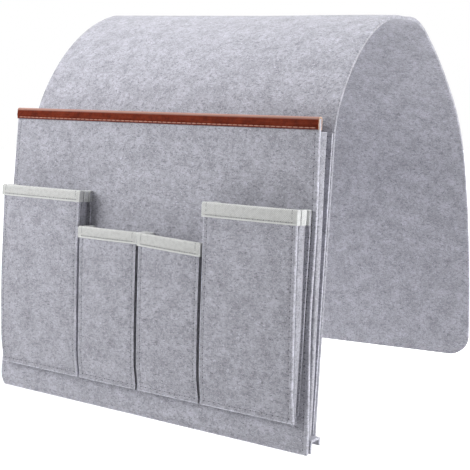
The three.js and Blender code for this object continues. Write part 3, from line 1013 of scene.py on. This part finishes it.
leg_row = LARGE_GUSSET_EDGE - SEAM_INSET
bm = bmesh.new()
for start, end in (
    ((-leg_row, LEG_SEAM[0]), (-leg_row, LEG_SEAM[1])),
    ((leg_row, LEG_SEAM[0]), (leg_row, LEG_SEAM[1])),
    ((-LEG_LOW_SEAM_HALF, LEG_LOW_SEAM), (LEG_LOW_SEAM_HALF, LEG_LOW_SEAM)),
):
    sew(bm, arm_side, start, end, Vector((0, 1, 0)))
sheet_stitches = make_piece("front_leg_stitches", bm, [thread, needle_hole], [])
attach(sheet_stitches, "front_leg")


# Small pockets
def share_up(down):
    """How far up the row a height is: 0 at the bottom, 1 at the tops of the wide pockets"""
    return (POCKET_BOTTOM - down) / (POCKET_BOTTOM - WIDE_TOP)


def narrowed(x, down):
    """Side position in the row of pockets, which narrows towards its top"""
    return x * (1 - ROW_NARROWING * share_up(down) / ROW_WIDTH)


def most_undercut(pocket, side):
    """How far a side is drawn in behind its face: least at the first gap, not at the row's ends"""
    edge = pocket.left if side < 0 else pocket.right
    if abs(edge) >= ROW_WIDTH / 2:
        return 0.0
    return SHALLOW_UNDERCUT if edge <= POCKETS[1].left else DEEP_UNDERCUT


def undercut(pocket, side, down):
    """The same at one height: it starts under the narrow pockets' tapes and fades at the bottom"""
    fade = UNDERCUT_FADE * ease(*UNDERCUT_FADES, down)
    return most_undercut(pocket, side) * ease(*UNDERCUT_STARTS, down) * (1 - fade)


def front_out(pocket, x, down):
    """How far a front's face is off the panel: its top stands off and bows, its foot is drawn in"""
    rise = share_up(down)
    plain = FRONT_LOW + FRONT_RISE * rise + FRONT_BOW * math.sin(math.pi * clamped(rise))
    plain -= FOOT_PINCH * (1 - ease(0, FOOT_REACH, POCKET_BOTTOM - down))
    across = clamped((x - pocket.left) / pocket.width)
    up = clamped((POCKET_BOTTOM - down) / (POCKET_BOTTOM - pocket.top))
    return plain + FRONT_CROWN * math.sin(math.pi * across) * up**CROWN_GROWTH


def on_front(pocket, x, down, out):
    """Place in front of a small front's face"""
    return on_panel(narrowed(x, down), down, front_out(pocket, x, down) + out)


def on_flange(x, down):
    """Face of a small gusset's flange, where it is sewn to the panel"""
    return on_panel(x, down, GAP + SOFT_FELT)


def front_place(pocket, x, y, z):
    """Place in a small front: its sides are drawn in and its seams puckered"""
    edge = pocket.width / 2
    share = (POCKET_BOTTOM - y) / (POCKET_BOTTOM - pocket.top)
    tuck = SIDE_TUCK * ease(edge - SIDE_TUCK_REACH, edge, abs(x))
    across = pocket.middle + x * (1 - tuck / pocket.width)
    down = y + (pocket.top_at(across) - pocket.top) * share
    side = math.copysign(1, x)
    drawn_in = undercut(pocket, side, down) * min(-z / FELT, 1.0)
    across -= side * drawn_in * ease(edge - UNDERCUT_REACH, edge, abs(x))
    groove = pucker(z, x - pocket.seam, x + pocket.seam, y - POCKET_BOTTOM + SEAM_INSET)
    return on_front(pocket, across, down, z - groove)


FACING_SIDEWAYS = 0.8


def make_front(pocket):
    """Front whose deeply undercut sides get painted shade: a much darker felt on their side faces in
    the narrow gaps
    """
    bm = cut_felt(
        pocket.width,
        pocket.top + TAPE_FOLD,
        POCKET_BOTTOM,
        FELT,
        cell=(5.5, 5.5),
        rim=0.95,
        columns=both_sides(groove_lines(pocket.seam)),
        rows=groove_lines(POCKET_BOTTOM - SEAM_INSET),
    )
    # Sideways faces of the deeply undercut sides take the darker felt of painted shade in the gap
    for face in bm.faces:
        deep = most_undercut(pocket, face.normal.x) == DEEP_UNDERCUT
        if deep and abs(face.normal.x) > FACING_SIDEWAYS:
            face.material_index = PAINTED_GAP_SHADE
    place = functools.partial(front_place, pocket)
    bend_into_place(bm, place, cut_from=(pocket.left * 3 + 500, 2500))
    front = make_piece(
        pocket.name + "_pocket_front",
        bm,
        [pocket_felt, felt_cut_painted_highlight, gap_felt_painted_shade],
        [pocket.name + "_front"],
    )
    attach(front, pocket.cover)


def make_top_tape(pocket):
    """Tape over the front's top edge, pulled in along its seam"""
    hem = folded_strip(pocket.tape, TAPE_FOLD, -FELT - TAPE_FOLD, TAPE_ROUND)

    def place(x, y, z):
        low, out = folded_over(hem, y / hem.total, z)
        if out > 0:
            out -= PRESSED_GROOVE * hump(low - pocket.tape + TAPE_SEAM, TAPE_GROOVE_SPREAD)
        across = pocket.middle + x
        return on_front(pocket, across, pocket.top_at(across) + low, out)

    length = pocket.width + 2 * TAPE_OVERHANG
    bm = cut_felt(length, 0, hem.total, TAPE, cell=(4.5, 0.7), rim=0.25, cut_shows=False)
    bend_into_place(bm, place, cut_from=(pocket.left * 2, 0))
    top_tape = make_piece(
        pocket.name + "_top_tape", bm, [tape], [pocket.name + "_tape"]
    )
    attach(top_tape, pocket.cover)


def make_corner_tape(pocket):
    """Tape turned round the front's two top corners"""
    bm = bmesh.new()
    for side in (-1, 1):

        def place(x, y, z, side=side):
            across = pocket.middle + side * (pocket.width / 2 + CORNER_TAPE_OUT + z)
            rounded = math.sqrt(1 - (1 - min(y / CORNER_TAPE_ROUND, 1)) ** 2)
            out = -FELT / 2 - side * x * rounded
            return on_front(pocket, across, pocket.top_at(across) + y, out)

        tab = cut_felt(
            FELT + 2 * TAPE_FOLD + CORNER_TAPE_SPARE,
            CORNER_TAPE_TOP,
            pocket.tape,
            CORNER_TAPE,
            cell=(0.9, 0.8),
            rim=0.15,
            cut_shows=False,
        )
        bend_into_place(tab, place, cut_from=(pocket.left * 2 + side * 60, 3))
        corner = finished_mesh(tab, "corner_tape")
        bm.from_mesh(corner)
        bpy.data.meshes.remove(corner)
    # The corner tabs take the paler tape of painted light
    corners = make_piece(pocket.name + "_corner_tape", bm, [corner_tape], [])
    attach(corners, pocket.cover)


def sew_front(pocket):
    """Stitches of the front: down both sides and along the bottom"""

    def face(x, y):
        return front_place(pocket, x, y, 0.0)

    low = POCKET_BOTTOM - SEAM_INSET
    high = pocket.top + pocket.tape + FRONT_SEAM_STARTS
    bm = bmesh.new()
    for row in (-pocket.seam, pocket.seam):
        sew(bm, face, (row, high), (row, low), OUT)
    sew(bm, face, (-pocket.seam, low), (pocket.seam, low), OUT)
    stitches = make_piece(
        pocket.name + "_pocket_stitches",
        bm,
        [thread, needle_hole],
        [pocket.name + "_stitching"],
    )
    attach(stitches, pocket.cover)


def sew_tape(pocket):
    """Stitches of the tape: along its lower edge and down both ends"""

    def face(x, y):
        across = pocket.middle + x
        out = TAPE_FOLD - TAPE_THREAD_SINK
        return on_front(pocket, across, pocket.top_at(across) + y, out)

    hem_line = pocket.tape - TAPE_SEAM
    bm = bmesh.new()
    sew(bm, face, (-pocket.seam, hem_line), (pocket.seam, hem_line), OUT)
    for row in (-pocket.seam, pocket.seam):
        sew(bm, face, (row, TAPE_END_SEAM[0]), (row, hem_line - TAPE_END_SEAM[1]), OUT)
    stitches = make_piece(
        pocket.name + "_tape_stitches", bm, [tape_thread, tape_hole_painted_shade], []
    )
    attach(stitches, pocket.cover)


SMALL_POCKET_BEND = (1.8, 14.0)
SMALL_FLOOR_BEND = (1.0, 5.0)


def make_small_gusset(pocket, sign, side):
    """Gusset, tape over its top edge, and the stitches of its flange"""
    edge = (pocket.right if sign > 0 else pocket.left) - sign * TAPE_FOLD
    top = pocket.top_at(edge)

    def section_at(down):
        under_tape = top + pocket.tape
        tape_room = TAPE_FOLD * (1 - ease(under_tape, under_tape + TAPE_ROOM_FADES, down))
        drawn_in = UNDERCUT_FOLLOWED * undercut(pocket, sign, down)
        return gusset_section(
            sign * narrowed(edge, down) + FRONT_EDGE_OUT - drawn_in,
            sign * edge + TAPE_FOLD + BACK_EDGE_OUT,
            front_out(pocket, edge, down) - FELT - GAP - tape_room,
            GAP + SOFT_FELT + tape_room,
            SMALL_FLANGE,
            SMALL_VALLEY - VALLEY_CLOSING * ease(*VALLEY_CLOSES, down),
            SOFT_FELT,
            SMALL_KNEE,
        )

    gusset, section = make_gusset(
        pocket.name + "_pocket_gusset_" + side,
        sign,
        section_at,
        top + TAPE_FOLD,
        SMALL_FLOOR_TOP - GAP,
        SOFT_FELT,
        pocket.name + "_gusset_" + side,
    )
    blend_on_panel(gusset, "panel", pocket.cover, *SMALL_POCKET_BEND)

    over = folded_strip(pocket.tape, TAPE_FOLD, -SOFT_FELT - TAPE_FOLD, GUSSET_TAPE_ROUND)
    whole = section(top + 2).total
    first = (SMALL_FLANGE + GUSSET_TAPE_STARTS) / whole
    length = whole * (1 - first)

    def tape_place(x, y, z):
        low, rise = folded_over(over, y / over.total, z)
        share = first + (x / length + 0.5) * (1 - first)
        point, normal = section(top + max(low, 0)).at(share)
        point = point + normal * rise
        return on_panel(sign * point.x, top + low, point.y)

    bm = cut_felt(length, 0, over.total, TAPE, cell=(0.9, 0.7), rim=0.25, cut_shows=False)
    bend_into_place(bm, tape_place, cut_from=(pocket.left * 2 + sign * 40, 0))
    # The gusset's tape takes the paler tape of painted light
    gusset_tape = make_piece(
        pocket.name + "_gusset_tape_" + side,
        bm,
        [corner_tape],
        [pocket.name + "_tape_" + side],
    )
    blend_on_panel(gusset_tape, "panel", pocket.cover, *SMALL_POCKET_BEND)

    row = edge + sign * (TAPE_FOLD - GUSSET_SEAM_INSET)
    start, end = top + pocket.tape + SEAM_END, SMALL_FLOOR_TOP - GUSSET_SEAM_END
    bm = bmesh.new()
    sew(bm, on_flange, (row, start), (row, end), OUT)
    stitches = make_piece(
        pocket.name + "_gusset_stitches_" + side, bm, [thread, needle_hole], []
    )
    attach(stitches, "panel")


def make_small_floor(pocket):
    foot = front_out(pocket, pocket.left, POCKET_BOTTOM) - FELT - GAP
    bottom = make_floor(
        pocket.name + "_pocket_floor",
        pocket.left + SMALL_FLOOR_INSET,
        pocket.right - SMALL_FLOOR_INSET,
        SMALL_FLOOR_TOP,
        (foot, POCKET_BOTTOM - GAP),
        (GAP, POCKET_BOTTOM - GAP),
        SOFT_FELT,
        pocket.name + "_floor",
    )
    blend_on_panel(bottom, "panel", pocket.cover, *SMALL_FLOOR_BEND)


for pocket in POCKETS:
    make_front(pocket)
    make_top_tape(pocket)
    make_corner_tape(pocket)
    sew_front(pocket)
    sew_tape(pocket)
    make_small_gusset(pocket, -1, "left")
    make_small_gusset(pocket, 1, "right")
    make_small_floor(pocket)


# Studio, in metres: a pale floor that turns white far off and towards the back
STUDIO_FLOOR = -0.62
FLOOR_RADIUS = 6.0


def pale_floor():
    bm = bmesh.new()
    bmesh.ops.create_circle(bm, cap_ends=True, segments=96, radius=FLOOR_RADIUS)
    bmesh.ops.translate(bm, vec=(0, 0, STUDIO_FLOOR), verts=bm.verts)
    mesh = finished_mesh(bm, "pale_floor")
    pale = bpy.data.materials.new("pale_floor")
    pale.use_nodes = True
    nodes = Nodes(pale.node_tree)
    shader = pale.node_tree.nodes["Principled BSDF"]
    shader.inputs["Base Color"].default_value = (0.95, 0.95, 0.95, 1)
    shader.inputs["Roughness"].default_value = 0.9
    shader.inputs["Emission Color"].default_value = (1, 1, 1, 1)
    where = nodes.add("TexCoord").outputs["Object"]
    distance = nodes.add("VectorMath", operation="LENGTH")
    nodes.link(where, distance.inputs[0])
    back = nodes.part_of(where, "Y")
    behind = nodes.ranged(back, 0.1, 0.9, most=0.8, interpolation="SMOOTHSTEP")
    far = distance.outputs["Value"]
    all_round = nodes.ranged(far, 0.7, 1.9, most=0.9, interpolation="SMOOTHSTEP")
    seen = nodes.maths("MULTIPLY", all_round, nodes.seen_by_camera())
    nodes.link(nodes.maths("MAXIMUM", behind, seen), shader.inputs["Emission Strength"])
    mesh.materials.append(pale)
    ground = bpy.data.objects.new("pale_floor", mesh)
    bpy.context.collection.objects.link(ground)


def studio_walls():
    """Dim light from the front and bright from the back, and white wherever the camera sees it"""
    world = bpy.data.worlds.new("studio")
    world.use_nodes = True
    nodes = Nodes(world.node_tree)
    back = nodes.part_of(nodes.add("TexCoord").outputs["Generated"], "Y")
    glow = nodes.ranged(back, -0.1, 0.6, least=0.13, interpolation="SMOOTHSTEP")
    strength = nodes.maths("MAXIMUM", glow, nodes.seen_by_camera())
    background = world.node_tree.nodes["Background"]
    background.inputs["Color"].default_value = (1, 1, 1, 1)
    nodes.link(strength, background.inputs["Strength"])
    bpy.context.scene.world = world


def softbox(name, place, target, size, power):
    light = bpy.data.lights.new(name, "AREA")
    light.shape = "RECTANGLE"
    light.size, light.size_y = size
    light.energy = power
    lamp = bpy.data.objects.new(name, light)
    lamp.location = place
    lamp.rotation_euler = (Vector(target) - Vector(place)).to_track_quat("-Z", "Y").to_euler()
    bpy.context.collection.objects.link(lamp)


pale_floor()
studio_walls()
softbox("overhead", (-0.02, -0.02, 1.1), (0, 0.0, 0), (0.9, 0.9), 14.2)
softbox("left_key", (-0.42, -0.78, 0.16), (-0.05, -0.20, -0.2), (0.5, 0.5), 5.6)
softbox("under_fill", (0.05, 0.0, -0.56), (0.0, 0.18, -0.2), (0.35, 0.3), 0.36)
softbox("right_edge", (1.1, 0.18, 0.0), (0.15, -0.15, -0.15), (0.25, 0.7), 7.5)

# Camera, in metres, with the photograph's width and the shift of its middle in pixels
CAMERA_PLACE = (0.4910, -0.8110, -0.0459)
AZIMUTH = math.radians(32.14)
ELEVATION = math.radians(8.58)
PHOTO_WIDTH = 470
PHOTO_SHIFT = -23

camera_data = bpy.data.cameras.new("camera")
camera_data.lens = 73.5
camera_data.sensor_width = 36
camera_data.shift_y = PHOTO_SHIFT / PHOTO_WIDTH
camera_data.clip_start = 0.05
camera = bpy.data.objects.new("camera", camera_data)
camera.location = CAMERA_PLACE
level = math.cos(ELEVATION)
view = Vector((-math.sin(AZIMUTH) * level, math.cos(AZIMUTH) * level, -math.sin(ELEVATION)))
camera.rotation_euler = view.to_track_quat("-Z", "Y").to_euler()
bpy.context.collection.objects.link(camera)
bpy.context.scene.camera = camera
bpy.context.scene.view_settings.view_transform = "Standard"
